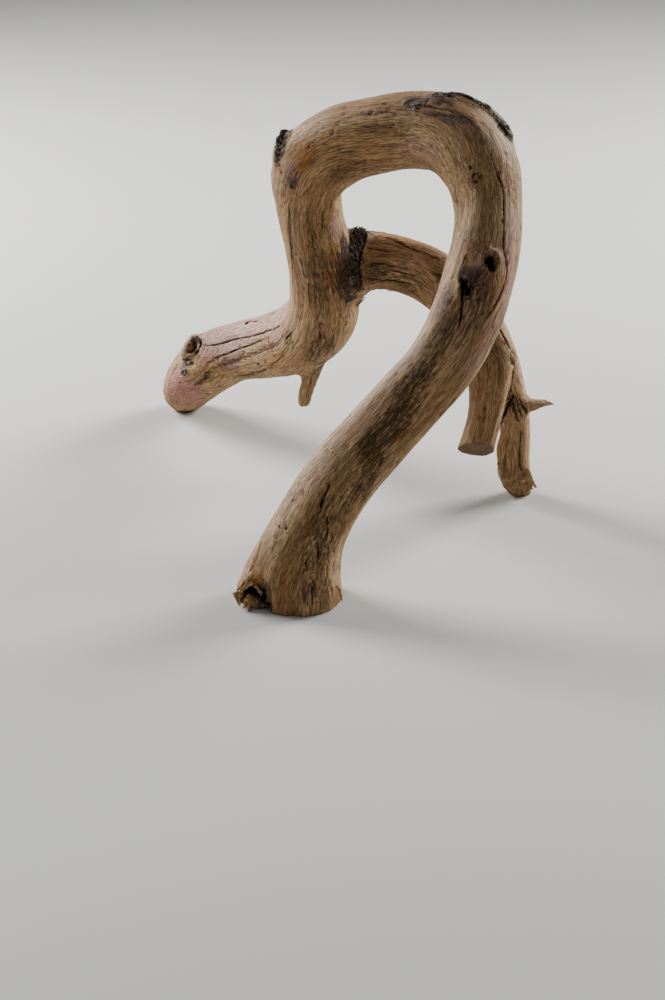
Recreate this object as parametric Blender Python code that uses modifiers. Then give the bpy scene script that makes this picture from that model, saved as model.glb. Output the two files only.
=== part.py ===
"""Dry root: one bare, weathered piece of twisted root wood that stands on three feet.

A thick main limb rises from the front foot, loops over at the top, comes down as a trunk and
runs out behind to the left foot. A branch leaves the trunk, arches to the right and comes down
as the right foot, beside a sawn-off stump. The limbs grew as one piece, so they are one solid.
Metres, +Z up, front towards -Y, origin under the middle of the root on the surface it stands on.
"""

import math

import bmesh
import bpy
from mathutils import Vector

MM = 0.001

# Each limb: points along its middle in mm, with the limb's radius there and its twist in degrees
MAIN_LIMB = (
    (-42, -188, -22, 34, 0),
    (-41, -188, 0, 33, 5),
    (-38, -188, 22, 30, 10),
    (-29, -187, 47, 25, 15),
    (-11, -182, 77, 23, 25),
    (13, -171, 102, 22, 35),
    (35, -164, 125, 21.5, 45),
    (56, -159, 148, 21.5, 55),
    (71, -151, 174, 22, 65),
    (80, -141, 197, 22, 75),
    (87, -125, 219, 21.5, 85),
    (89, -108, 238, 22, 95),
    (84, -90, 260, 26, 110),
    (67, -68, 273, 27, 125),
    (44, -51, 274, 26, 140),
    (18, -40, 269, 25, 155),
    (-9, -24, 258, 25.5, 170),
    (-26, -11, 238, 25, 185),
    (-27, -1, 213, 23, 195),
    (-22, 9, 182, 23.5, 205),
    (-18, 24, 149, 25, 215),
    (-20, 41, 122, 26, 225),
    (-35, 68, 99, 25, 235),
    (-59, 105, 80, 23, 250),
    (-82, 132, 68, 22, 260),
    (-103, 152, 54, 24, 270),
    (-117, 177, 36, 22.5, 275),
    (-124, 196, 22, 20, 280),
    (-126, 206, 13, 17, 280),
    (-127, 211, 5, 13, 280),
    (-128, 214, -3, 9, 280),
)
BRANCH = (
    (-20, 24, 160, 24, 0),
    (-6, 23, 164, 22, 10),
    (14, 20, 167, 19, 20),
    (36, 14, 165, 18, 30),
    (62, 0, 156, 18, 45),
    (80, -15, 140, 18.5, 60),
    (94, -21, 114, 18.5, 75),
    (106, -14, 83, 14.5, 90),
    (113, -7, 54, 11.5, 100),
    (113, -3, 28, 11.5, 110),
    (116, 0, 11, 9.5, 115),
    (118, 2, 0, 8.5, 118),
    (120, 5, -10, 8, 120),
)
STUMP = (
    (94, -24, 120, 17, 0),
    (94, -36, 96, 14.5, 10),
    (91, -42, 74, 12, 15),
    (85, -46, 52, 12.5, 20),
    (80, -49, 36, 13, 20),
)

# A swollen ring of old bark where the branch leaves the trunk
COLLAR = (
    (-14, 23, 161, 24, 0),
    (-3, 22, 163, 26, 0),
    (8, 21, 165, 25.5, 0),
    (14, 20, 166, 21, 0),
)
STUB = (
    (-24, 54, 98, 9, 0),
    (-27, 60, 76, 6, 0),
    (-32, 65, 60, 5.5, 0),
    (-35, 69, 46, 5, 0),
)
SPIKE = (
    (106, -12, 78, 11, 0),
    (117, -17, 72, 7, 0),
    (127, -16, 71.5, 4.6, 0),
    (136, -14, 72, 2.6, 0),
    (143.5, -12.5, 69.5, 1.3, 0),
)

# The torn side root that stands out from the front foot
TORN_KNOT = (
    (-50, -188, 42, 10, 0),
    (-62, -193, 25, 10.5, 0),
    (-71, -198, 11, 9, 0),
    (-72, -204, 4, 7, 0),
)

# The raised rim round the hollow knot on the left limb, and the hollow itself
HOLLOW_KNOT = (
    (-106, 150, 56, 14, 0),
    (-117, 150, 66, 13, 0),
    (-123, 150, 70, 10, 0),
)
HOLLOW_PLACE = (-128, 148, 73)
HOLLOW_RADII = (5, 8, 7)
HOLLOW_FACING = (-0.75, 0, 0.66)

# Smaller lumps: the knot at the loop's left corner, the one on the branch, and the bark along the loop's top
CORNER_KNOT = (
    (-37, -7, 262, 8, 0),
    (-44, -13, 253, 8, 0),
    (-46, -18, 244, 6, 0),
)
BRANCH_KNOT = (
    (100, -29, 112, 10, 0),
    (106, -31, 112, 7.5, 0),
)
BARK_RIDGE = (
    (52, -58, 294, 4, 0),
    (66, -64, 297, 6, 0),
    (80, -73, 295, 6, 0),
    (94, -75, 286, 6, 0),
    (102, -82, 276, 5, 0),
    (105, -88, 262, 3, 0),
)

# The lobes of a limb's cross-section: (lobes round the limb, share of the radius, where they start)
MAIN_LOBES = ((2, 0.05, 0.4), (3, 0.03, 1.1), (5, 0.015, 2.0))
BRANCH_LOBES = ((2, 0.06, 1.2), (3, 0.04, 0.3), (4, 0.02, 2.2))
ROUND_LOBES = ((2, 0.08, 0.0), (3, 0.05, 0.9))
PROFILE_POINTS = 40
STEPS_BETWEEN_POINTS = 8

# Every limb with the lobes of its section
LIMBS = {
    "main_limb": (MAIN_LIMB, MAIN_LOBES),
    "branch": (BRANCH, BRANCH_LOBES),
    "stump": (STUMP, BRANCH_LOBES),
    "collar": (COLLAR, ROUND_LOBES),
    "stub": (STUB, ROUND_LOBES),
    "spike": (SPIKE, ROUND_LOBES),
    "torn_knot": (TORN_KNOT, ROUND_LOBES),
    "hollow_knot": (HOLLOW_KNOT, ROUND_LOBES),
    "corner_knot": (CORNER_KNOT, ROUND_LOBES),
    "branch_knot": (BRANCH_KNOT, ROUND_LOBES),
    "bark_ridge": (BARK_RIDGE, ROUND_LOBES),
}

STUMP_CUT_POINT = (84, -47, 49)
STUMP_CUT_NORMAL = (-0.15, -0.6, -0.78)
SAW_BLOCK = 46 * MM

VOXEL_SIZE = 2 * MM
SMOOTHING_ROUNDS = 6
TRIANGLES = 9600
SNAP_TO_CUT = 0.2 * MM

WOOD_COLOUR = (0.42, 0.28, 0.17, 1.0)
WOOD_ROUGHNESS = 0.62


def clear_scene():
    for obj in list(bpy.data.objects):
        bpy.data.objects.remove(obj, do_unlink=True)


def new_collection(name, hidden=False):
    collection = bpy.data.collections.new(name)
    collection.hide_render = hidden
    bpy.context.scene.collection.children.link(collection)
    return collection


def lobed_profile(name, lobes, helpers):
    """A closed flat curve about 1 mm in radius, which the limb's own radius scales up."""
    curve = bpy.data.curves.new(name, "CURVE")
    curve.dimensions = "2D"
    spline = curve.splines.new("POLY")
    spline.points.add(PROFILE_POINTS - 1)
    spline.use_cyclic_u = True
    for number, point in enumerate(spline.points):
        angle = math.tau * number / PROFILE_POINTS
        radius = MM * (1 + sum(share * math.cos(count * angle + start) for count, share, start in lobes))
        point.co = (radius * math.cos(angle), radius * math.sin(angle), 0, 1)
    profile = bpy.data.objects.new(name, curve)
    profile.hide_render = True
    profile.display_type = "WIRE"
    helpers.objects.link(profile)
    return profile


def limb_mesh(name, stations, profile, helpers):
    """One limb: a smooth curve through its stations, swept with the profile and closed at its ends."""
    curve = bpy.data.curves.new(name, "CURVE")
    curve.dimensions = "3D"
    curve.twist_mode = "MINIMUM"
    curve.resolution_u = STEPS_BETWEEN_POINTS
    curve.bevel_mode = "OBJECT"
    curve.bevel_object = profile
    curve.use_fill_caps = True
    spline = curve.splines.new("BEZIER")
    spline.radius_interpolation = "CARDINAL"
    spline.tilt_interpolation = "CARDINAL"
    spline.bezier_points.add(len(stations) - 1)
    for point, (x, y, z, radius, twist) in zip(spline.bezier_points, stations):
        point.co = Vector((x, y, z)) * MM
        point.radius = radius
        point.tilt = math.radians(twist)
        point.handle_left_type = "AUTO"
        point.handle_right_type = "AUTO"
    limb = bpy.data.objects.new(name, curve)
    helpers.objects.link(limb)
    bpy.context.view_layer.update()
    graph = bpy.context.evaluated_depsgraph_get()
    mesh = bpy.data.meshes.new_from_object(limb.evaluated_get(graph))
    bpy.data.objects.remove(limb)
    return mesh


def fused(meshes, helpers):
    """The limbs grown together: one skin round all of them, softened where they meet."""
    bm = bmesh.new()
    for mesh in meshes:
        bm.from_mesh(mesh)
    bmesh.ops.remove_doubles(bm, verts=bm.verts, dist=0.01 * MM)
    bmesh.ops.recalc_face_normals(bm, faces=bm.faces)
    joined = bpy.data.meshes.new("joined_limbs")
    bm.to_mesh(joined)
    bm.free()
    body = bpy.data.objects.new("joined_limbs", joined)
    helpers.objects.link(body)
    skin = body.modifiers.new("skin", "REMESH")
    skin.mode = "VOXEL"
    skin.voxel_size = VOXEL_SIZE
    soften = body.modifiers.new("soften", "SMOOTH")
    soften.factor = 0.5
    soften.iterations = SMOOTHING_ROUNDS
    graph = bpy.context.evaluated_depsgraph_get()
    mesh = bpy.data.meshes.new_from_object(body.evaluated_get(graph))
    bpy.data.objects.remove(body)
    return mesh


def thinned(mesh, helpers):
    """The same surface with few enough faces."""
    body = bpy.data.objects.new("thinned", mesh)
    helpers.objects.link(body)
    faces = body.modifiers.new("faces", "TRIANGULATE")
    faces.min_vertices = 4
    decimate = body.modifiers.new("fewer", "DECIMATE")
    decimate.use_collapse_triangulate = True
    decimate.ratio = TRIANGLES / (2 * len(mesh.polygons))
    graph = bpy.context.evaluated_depsgraph_get()
    result = bpy.data.meshes.new_from_object(body.evaluated_get(graph))
    bpy.data.objects.remove(body)
    return result


def stand_on_floor(mesh):
    """Cuts the three feet flat at the floor and closes each cut with a flat face."""
    bm = bmesh.new()
    bm.from_mesh(mesh)
    cut = bmesh.ops.bisect_plane(
        bm,
        geom=bm.verts[:] + bm.edges[:] + bm.faces[:],
        dist=SNAP_TO_CUT,
        plane_co=(0, 0, 0),
        plane_no=(0, 0, -1),
        clear_outer=True,
    )
    edges = [item for item in cut["geom_cut"] if isinstance(item, bmesh.types.BMEdge)]
    for vert in bm.verts:
        if vert.co.z < SNAP_TO_CUT:
            vert.co.z = 0
    bmesh.ops.holes_fill(bm, edges=edges)
    bmesh.ops.triangulate(bm, faces=bm.faces)
    bm.to_mesh(mesh)
    bm.free()


def cut_away(root, name, bm, location, facing, cutters):
    """Cuts a helper shape out of the root; its own Z axis faces the way given."""
    mesh = bpy.data.meshes.new(name)
    bm.to_mesh(mesh)
    bm.free()
    cutter = bpy.data.objects.new(name, mesh)
    cutter.location = location
    cutter.rotation_mode = "QUATERNION"
    cutter.rotation_quaternion = facing.to_track_quat("Z", "Y")
    cutter.hide_render = True
    cutter.display_type = "WIRE"
    cutters.objects.link(cutter)
    cut = root.modifiers.new(name, "BOOLEAN")
    cut.operation = "DIFFERENCE"
    cut.object = cutter


def saw_off_stump(root, cutters):
    """The stump's slanting sawn end, cut by a block that lies beyond it."""
    normal = Vector(STUMP_CUT_NORMAL).normalized()
    bm = bmesh.new()
    bmesh.ops.create_cube(bm, size=SAW_BLOCK)
    cut_away(root, "saw_block", bm, Vector(STUMP_CUT_POINT) * MM + normal * SAW_BLOCK / 2, normal, cutters)


def hollow_out_knot(root, cutters):
    """The dark hollow in the knot above the left foot."""
    bm = bmesh.new()
    bmesh.ops.create_uvsphere(bm, u_segments=14, v_segments=8, radius=MM)
    bmesh.ops.scale(bm, vec=Vector(HOLLOW_RADII), verts=bm.verts)
    cut_away(root, "knot_hollow", bm, Vector(HOLLOW_PLACE) * MM, Vector(HOLLOW_FACING), cutters)


def wood_material():
    material = bpy.data.materials.new("dry_wood")
    material.use_nodes = True
    shader = material.node_tree.nodes["Principled BSDF"]
    shader.inputs["Base Color"].default_value = WOOD_COLOUR
    shader.inputs["Roughness"].default_value = WOOD_ROUGHNESS
    shader.inputs["Metallic"].default_value = 0.0
    return material


def main():
    clear_scene()
    parts = new_collection("dry_root")
    helpers = new_collection("guides", hidden=True)
    meshes = []
    for name, (stations, lobes) in LIMBS.items():
        profile = lobed_profile(name + "_profile", lobes, helpers)
        meshes.append(limb_mesh(name, stations, profile, helpers))
    mesh = thinned(fused(meshes, helpers), helpers)
    mesh.name = "dry_root"
    stand_on_floor(mesh)
    mesh.shade_smooth()
    mesh.materials.append(wood_material())
    root = bpy.data.objects.new("dry_root", mesh)
    parts.objects.link(root)
    cutters = new_collection("cutters", hidden=True)
    saw_off_stump(root, cutters)
    hollow_out_knot(root, cutters)


main()
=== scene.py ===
"""Dry root: the finish of one weathered, three-footed piece of root wood, and the studio it stands in.

The wood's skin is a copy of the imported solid, made of even small faces, then carved along its grain:
flutes, drying cracks, knots, old bark, a torn side root and a sawn end. Sizes are in millimetres
unless a name says otherwise; a picture point is a pixel of the 665 x 1000 frame that the camera sees.
"""

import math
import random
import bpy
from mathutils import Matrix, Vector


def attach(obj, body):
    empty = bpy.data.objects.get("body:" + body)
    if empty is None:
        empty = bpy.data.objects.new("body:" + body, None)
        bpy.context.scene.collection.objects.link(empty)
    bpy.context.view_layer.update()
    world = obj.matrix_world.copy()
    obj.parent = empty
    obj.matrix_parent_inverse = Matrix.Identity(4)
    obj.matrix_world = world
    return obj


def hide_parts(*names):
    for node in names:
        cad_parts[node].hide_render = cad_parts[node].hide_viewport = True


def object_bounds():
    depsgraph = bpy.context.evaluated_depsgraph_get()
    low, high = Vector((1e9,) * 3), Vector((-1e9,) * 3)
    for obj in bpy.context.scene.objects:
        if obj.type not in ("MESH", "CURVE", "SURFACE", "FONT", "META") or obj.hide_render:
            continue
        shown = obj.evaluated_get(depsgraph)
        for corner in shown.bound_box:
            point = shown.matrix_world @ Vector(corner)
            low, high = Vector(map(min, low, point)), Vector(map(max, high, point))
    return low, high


bl_info = {
    "name": "Dry Root",
    "version": (1, 0, 0),
    "blender": (4, 5, 0),
    "location": "View3D > Sidebar > Dry Root",
    "description": "Finishes a weathered piece of root wood and sets up its studio",
    "category": "Object",
}

import bmesh
import bpy
import numpy as np
from bpy.props import FloatProperty, FloatVectorProperty, PointerProperty
from bpy.types import Operator, Panel, PropertyGroup
from mathutils import Euler, Matrix, Vector, kdtree, noise
from mathutils.bvhtree import BVHTree

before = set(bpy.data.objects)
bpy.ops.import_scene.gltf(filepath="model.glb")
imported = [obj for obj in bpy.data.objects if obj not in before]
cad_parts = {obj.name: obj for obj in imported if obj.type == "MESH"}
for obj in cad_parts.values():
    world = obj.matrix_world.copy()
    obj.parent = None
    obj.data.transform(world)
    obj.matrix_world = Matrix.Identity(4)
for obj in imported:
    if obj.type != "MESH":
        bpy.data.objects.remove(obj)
CAD_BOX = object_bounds()

MM = 0.001
NODE = "dry_root"
BODY = "root"

# The camera: where it stands in metres, how far it looks down and leans, and its lens
PICTURE_WIDTH, PICTURE_HEIGHT = 665, 1000
CAMERA_PLACE = (-0.0151, -1.9291, 0.7)
CAMERA_DOWN = 20.0
CAMERA_LEAN = -1.07
SENSOR_MM = 36.0
FOCAL_PIXELS = 2900.0
CLIP_START, CLIP_END = 0.05, 30.0

# The limbs' middle lines, from foot to tip, with the limb's radius: the grain follows them
LIMBS = {
    "main": (None, (
        (-42, -188, -14, 33), (-38, -188, 22, 30), (-11, -182, 77, 23), (35, -164, 125, 21),
        (71, -151, 174, 22), (87, -125, 219, 21), (86, -94, 256, 26), (72, -74, 276, 26),
        (44, -51, 274, 26), (-9, -24, 258, 25), (-27, -1, 213, 23), (-18, 24, 149, 25), (-35, 68, 99, 25),
        (-82, 132, 68, 22), (-117, 177, 36, 22), (-128, 214, -3, 14),
    )),
    "branch": ("main", (
        (0, 22, 164, 20), (36, 14, 165, 18), (62, 0, 156, 18), (94, -21, 114, 18), (106, -14, 83, 14),
        (113, -7, 54, 11), (113, -3, 28, 11), (119, 4, -6, 9),
    )),
    "stump": ("branch", ((94, -32, 104, 14), (91, -42, 74, 12), (80, -49, 36, 13))),
    "stub": ("main", ((-24, 54, 92, 7), (-32, 65, 60, 6), (-35, 69, 40, 5))),
    "side_root": ("main", ((-56, -190, 34, 10), (-71, -198, 11, 9), (-76, -206, -4, 7))),
    "spike": ("branch", ((112, -15, 75, 7), (127, -16, 71.5, 4.6), (150, -12, 68, 1.5))),
}
GRAIN_STEP = 4.0

# Drying cracks: width, depth, and the picture points that each runs through
CRACKS = (
    (1, 2.2, ((490, 156), (498, 175), (503, 192), (504, 210), (504, 229), (503.5, 246), (506.5, 267),
              (505.5, 277), (500.5, 295), (491.5, 310.5), (484, 322), (478, 334))),
    (1, 1.8, ((461.5, 276), (461, 284), (461.5, 292), (462, 300), (461.5, 310), (460, 321), (458, 331))),
    (2.2, 3, ((461, 277), (462, 283), (463, 289), (462.5, 295), (461.5, 303))),
    (4.2, 2.8, ((463.5, 281), (466, 286), (467.5, 290.5), (466, 295.5))),
    (0.6, 0.9, ((463, 277.5), (468, 282), (472, 287), (473, 291.5), (470, 297), (464.5, 301))),
    (1.4, 1.2, ((193.5, 335), (199, 338), (201, 343), (199, 350), (195, 355))),
    (0.6, 0.9, ((422, 107), (428, 106), (437, 108.5), (449, 110), (457, 115.5))),
    (0.6, 0.8, ((467, 254), (464.5, 259), (463, 264))),
    (0.9, 1.6, ((200, 344), (208, 345.4), (219.5, 344), (231.5, 340.3), (242, 338), (251, 336.5),
                (259, 334), (264, 332.5), (268.5, 330.5), (275.5, 328.5), (284, 321.5))),
    (0.8, 1.1, ((209, 359.5), (221, 356), (234, 351), (247.5, 346), (261, 340.5), (268, 337.5))),
    (0.9, 1.1, ((245, 325), (248.5, 322), (253, 321.5), (260, 321))),
    (0.4, 0.5, ((267, 334), (268.5, 341), (271.5, 348), (274.5, 357), (277, 361))),
    (1.1, 2, ((382, 238), (393, 240.5), (399, 243), (408, 247), (416.5, 249.5), (426.5, 253.5),
              (435.5, 258), (443.5, 262))),
    (0.6, 1, ((367.5, 248), (377, 249.5), (390.5, 252))),
    (0.6, 1, ((368.5, 263), (382, 263.5), (388, 265), (396, 267))),
    (0.6, 1, ((390.5, 269.7), (400.5, 272.4), (411, 275), (417, 277.5))),
    (0.7, 1.1, ((367.5, 278), (380.5, 280), (393, 281), (403.5, 283), (410, 285))),
    (0.6, 0.8, ((435, 273), (441, 277.5))),
    (0.9, 1.6, ((499.5, 327.5), (503, 335.7), (507.8, 345), (510, 350))),
    (0.9, 1.4, ((514, 363.5), (512.7, 377), (510.3, 390), (507.8, 395))),
    (1.3, 3, ((515, 395), (509, 403.6), (505.4, 412), (499.5, 425.4), (497, 433))),
    (0.7, 1.4, ((521.2, 429), (520, 451), (520, 465.5), (523.5, 474))),
    (0.8, 1.1, ((512.7, 401), (515, 412), (518.7, 423))),
    (0.8, 1.1, ((516, 398), (519.5, 410), (523, 419))),
    (0.8, 1.1, ((519, 397.5), (523.6, 407), (528, 414.5))),
    (1.2, 1.9, ((330, 483), (326, 492), (322, 502.5), (320, 509))),
    (0.8, 1.2, ((327, 514), (328, 529), (326, 541))),
    (0.8, 1.2, ((318, 545), (318.5, 562))),
    (0.8, 1.3, ((312.3, 585), (312.3, 606))),
    (0.7, 0.9, ((304.7, 560.6), (306.7, 567.8), (303, 572))),
    (0.6, 0.9, ((289, 203), (290, 234), (293, 271), (293.3, 289.5), (295.6, 301))),
    (0.6, 0.8, ((322, 211), (322, 230))),
    (0.6, 0.9, ((299, 257), (302.5, 265), (303.5, 272), (306, 278))),
    (0.7, 0.9, ((309, 280), (309.5, 294), (311, 308))),
    (0.7, 0.9, ((319.7, 322), (320, 341))),
    (1.5, 2.6, ((367, 234.5), (364, 242), (361.5, 253), (359.5, 263.5), (360, 271), (362, 279),
                (363, 290))),
    (0.8, 1, ((292, 331.5), (289, 336), (285.5, 340))),
    (0.8, 0.5, ((177.5, 365), (170.5, 377.5), (168, 391))),
)

# Dark lines of old sap and weathering along the grain, the last three painted shade in a shadowed fork:
# width, strength, picture points
STREAKS = (
    (2.8, 1, ((207, 371.5), (216, 367), (227.5, 363), (239, 359), (252, 354), (260, 351), (269.5, 347),
              (281, 341), (287, 335))),
    (2.6, 1, ((191, 386.5), (201, 381.5), (207, 374.5), (212, 369))),
    (1.9, 0.8, ((224.5, 381), (235, 376.5), (248, 375), (262, 371), (272.5, 365.3), (277.5, 361),
                (288, 350), (296, 345))),
    (2.2, 0.8, ((204, 366), (213, 361), (222, 357))),
    (1.8, 0.6, ((339, 123), (356, 115), (381, 112), (408, 111), (431, 114), (456, 117), (471, 124))),
    (1.5, 0.4, ((340, 139), (367, 128.5), (400, 127), (431, 128.5))),
    (1.6, 0.5, ((452, 109), (465, 117), (483, 139), (494, 164))),
    (2.4, 1, ((453, 92), (462, 94.5), (470, 98), (480, 103.5), (489, 109.5), (497, 117), (504, 126))),
    (0.9, 0.9, ((511, 478), (509, 488))),
    (0.9, 0.9, ((514, 476), (514, 491))),
    (0.9, 0.9, ((517, 476), (518, 492))),
    (0.9, 0.9, ((520, 475), (523, 490))),
    (0.9, 0.9, ((523, 474), (528, 486))),
    (1.4, 0.7, ((437, 143), (442, 146), (448, 151))),
    (1.2, 0.6, ((345, 165), (360, 160), (385, 161), (403, 163))),
    (1.4, 0.5, ((381, 463), (372, 480), (362, 500))),
    (1.6, 0.6, ((305, 577), (304.7, 604))),
    (1.8, 0.7, ((314, 577), (314, 602))),
    (1.6, 0.8, ((337, 245), (336, 262), (337, 285), (341, 298))),
    (1.4, 0.7, ((331, 240), (330, 258), (329, 280), (331, 300))),
    (1.2, 0.7, ((323, 245), (322, 268), (323, 290), (322, 310))),
    (1.2, 0.6, ((315, 222), (314, 245), (316, 268))),
    (1.3, 0.9, ((323.5, 510), (326.5, 520), (326.5, 528), (322.6, 533), (324, 541), (326, 550))),
    (1.3, 0.8, ((311, 522), (315, 535), (318.7, 548), (320.8, 563.5), (321.3, 577), (323, 592))),
    (1.2, 0.7, ((305.8, 535), (309.7, 548), (311, 560))),
    (1.4, 0.9, ((327.7, 535), (329, 553), (327.7, 568.7), (331, 587), (333, 602))),
    (1.2, 0.7, ((334, 538), (335.5, 558), (335.5, 579))),
    (0.9, 0.7, ((295.5, 568.7), (305.8, 570), (311, 576.5), (309.7, 584))),
    # Painted shade: dark creases in the shadowed fork between the stump and the right foot.
    (1.2, 0.7, ((511, 404), (518, 418))),
    (1, 0.7, ((516, 400), (523, 420))),
    (1, 0.7, ((521, 398), (528, 412))),
)

# Knots: picture point, radius, depth, stretch along the grain, and whether it is a ring, a hole or a dent
KNOTS = (
    (476, 177.5, 2.4, 0.9, 1.3, "ring"), (490, 261, 4.3, 3.4, 1.1, "hole"),
    (491.5, 268, 2.7, 1.6, 1.4, "hole"), (467, 289.5, 4.2, 1.3, 1.1, "dent"),
    (188.5, 346, 4.6, 1.6, 1.3, "ring"), (512.5, 358, 4, 1.5, 1.1, "ring"),
    (470.5, 167.5, 1, 0.6, 1.6, "hole"), (248, 323.5, 1.3, 0.8, 1.2, "hole"),
    (292, 187, 1.2, 0.8, 1, "hole"), (279, 527, 1, 0.7, 1.2, "hole"), (286, 528.5, 1.1, 0.7, 1.2, "hole"),
    (258, 364.8, 1.2, 0.6, 1.4, "hole"), (208, 393.5, 1.6, 0.7, 1.4, "hole"),
    (502.4, 461.7, 1, 0.6, 1, "hole"),
)

# Old bark and rough wood: picture point, reach, stretch along the grain, strength. Three patches are painted
# shade, as marked below
BARK = (
    (410, 102, 4, 1.2, 0.55), (416, 105, 4.5, 1.2, 0.75), (440, 96, 3.5, 1.5, 0.6), (446, 93, 4, 1.2, 1),
    (450, 96, 3, 1.3, 0.7), (460, 94, 2.2, 2.5, 0.7), (470, 98, 2, 3, 0.7), (481, 104, 2, 3, 0.7),
    (491, 111, 2, 3, 0.7), (500, 123, 3.4, 1.6, 0.75), (504, 130, 4.5, 1.3, 0.75), (508, 136, 4, 1.2, 0.65),
    (289, 132, 4, 1.2, 0.8), (285, 137, 7, 1.2, 1), (281, 147, 5.5, 1.2, 0.9), (277, 157, 3, 1.5, 0.7),
    (359, 236, 6.5, 1, 1), (352, 238, 5, 1, 1), (354, 247, 5.5, 1, 1), (366, 235, 4.5, 1, 0.9),
    # Painted shade: these three patches put dark bark on the shadowed smooth strip beside the branch's
    # collar.
    (354, 256, 4.5, 1.3, 0.65), (354, 269, 4.5, 1.5, 0.5), (354, 283, 4.5, 1.5, 0.55),
    (345, 250, 4, 1.6, 0.45), (346, 276, 4, 2, 0.4), (350, 298, 5, 1.2, 0.65), (361, 298, 4, 1, 1),
    (187, 362, 5, 1.3, 0.6), (248, 323, 2.4, 1.2, 0.8), (184, 371, 4, 1.3, 0.7),
)

# Stains and tints: picture point, reach, stretch along the grain, strength. Some dark spots are painted
# shade and some pale spots painted light, as marked below
DARK = (
    # Painted shade: the first three spots darken the shadowed smooth strip beside the branch's collar.
    (355, 256, 4, 2, 1), (355, 270, 4, 2, 1), (356, 284, 4, 2, 1), (344, 248, 5.5, 2, 0.9),
    (344, 264, 6, 2, 0.9), (344, 280, 6, 2, 0.9), (347, 293, 6, 1.5, 0.9), (197, 341, 3.5, 1.2, 1),
    # Painted shade: the last three spots on the next line darken the shadowed gap under the torn root's
    # arch.
    (196, 352, 3, 1.2, 0.8), (262, 594, 6, 1.3, 1), (268, 606, 4, 1.5, 0.8), (264, 588, 4, 1.3, 0.8),
    (291, 178, 4, 2.2, 0.45), (350, 170, 10, 1.6, 0.5), (385, 168, 8, 2.5, 0.4), (478, 300, 9, 2.2, 0.6),
    (470, 320, 8, 2, 0.55), (484, 284, 6, 1.5, 0.6), (450, 330, 9, 2, 0.5), (438, 345, 9, 2, 0.5),
    (425, 365, 8, 2, 0.6), (412, 385, 8, 2, 0.75), (402, 410, 8, 2, 0.8), (392, 428, 8, 2, 0.85),
    (378, 443, 7, 2, 0.8), (368, 441, 4, 1.5, 0.9), (374, 463, 6, 2, 0.7), (364, 485, 7, 2, 0.6),
    (345, 505, 8, 2.5, 0.45), (322, 530, 9, 3, 0.5), (316, 552, 8, 3, 0.45), (325, 594, 3.5, 3, 0.5),
    (323, 272, 11, 1.6, 0.65), (318, 295, 8, 2, 0.55), (316, 350, 6, 3, 0.6), (328, 347, 6, 2, 0.6),
    (312, 230, 7, 2.5, 0.4), (287, 337, 5, 1.5, 0.7), (383, 276, 9, 2.5, 0.5), (371, 268, 6, 1.5, 0.5),
    # Painted shade: the spot at (516, 403) darkens the shadowed fork between the stump and the right foot.
    (405, 283, 7, 2, 0.45), (516, 403, 6, 1.5, 0.7), (350, 300, 6, 1.2, 0.8), (330, 362, 5, 1.5, 0.6),
    (425, 470, 5, 2, 0.3),
)
ORANGE = (
    (302, 158, 7.5, 2, 1), (296, 150, 5, 2, 0.8), (345, 150, 14, 2.2, 0.4), (336, 257, 5, 2, 0.7),
    (330, 276, 5, 2, 0.6), (208, 362, 9, 2.5, 0.5), (238, 366, 10, 3, 0.4), (275, 356, 9, 2, 0.5),
    (402, 435, 4, 1.6, 0.8), (372, 457, 5, 1.6, 0.7), (352, 520, 5, 2, 0.5), (290, 590, 9, 2, 0.45),
    (255, 580, 6, 1, 1), (180, 392, 20, 1.4, 0.7), (224, 343, 13, 3, 0.35), (249, 605, 5, 1, 1),
    (337, 598, 5, 1, 0.7), (501, 450, 5, 3, 0.6), (476, 405, 9, 2.2, 0.35), (420, 300, 9, 2, 0.3),
    (484, 285, 4, 1.8, 0.5),
)
VIOLET = (
    (414, 101, 6, 1.4, 1), (430, 99, 6, 1.8, 0.9), (444, 99, 5, 1.6, 0.8), (432, 114.5, 2.4, 3, 0.7),
    (446, 118.5, 2.8, 3, 0.8), (459, 117.5, 3, 2.5, 0.8), (470, 121, 2.6, 2, 0.7), (478, 135, 2.6, 3, 0.6),
    (466, 275, 4.5, 1.3, 1), (443, 300, 6, 2, 0.7), (293, 180, 3.5, 1.8, 0.9), (291, 168, 3, 1.8, 0.7),
    (476, 277, 4.5, 1.4, 1), (482, 290, 5, 1.8, 0.6), (230, 364, 5, 2.5, 0.6), (305, 592, 1.8, 4, 0.6),
    (314, 592, 1.8, 4, 0.6), (374, 273, 6, 1.6, 0.6), (300, 262, 7, 2.5, 0.4), (345, 246, 5, 2, 0.8),
    (346, 262, 5.5, 2, 0.9), (346, 280, 5.5, 2, 0.9), (355, 262, 4, 2, 0.8), (356, 280, 4, 2, 0.8),
    (180, 392, 20, 1.4, 0.6), (224, 343, 13, 3, 0.5), (172, 384, 8, 1.4, 0.5), (247, 564, 5, 1.6, 0.45),
    (441, 332, 6, 2, 0.6), (415, 352, 6, 2, 0.4), (190, 395, 7, 1.3, 0.6), (290, 172, 5, 2, 0.5),
)
PALE = (
    # Some of this pale is painted light: the spots along the right edges of the arch and leg paint the lit
    # rims of the side lights, and those on the left limb's top are partly bleached wood, partly painted
    # light.
    (531, 486, 4, 2, 0.6), (526, 470, 3, 2.5, 0.5), (240, 330, 15, 2.5, 1), (215, 336, 12, 1.6, 1),
    (276, 322, 12, 1.6, 1), (174, 376, 8, 1.6, 0.6), (183, 388, 8, 1.3, 0.5), (512, 240, 7, 3, 0.7),
    (505, 300, 6, 4, 0.7), (483, 345, 6, 4, 0.6), (420, 150, 9, 2, 0.5), (385, 258, 11, 2, 0.35),
    (412, 268, 12, 2, 0.4), (434, 280, 9, 2, 0.35), (482, 262, 6, 1.3, 0.6), (460, 340, 5, 4, 0.4),
    (335, 228, 6, 1.5, 0.8), (270, 150, 9, 2, 0.5),
)

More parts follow.
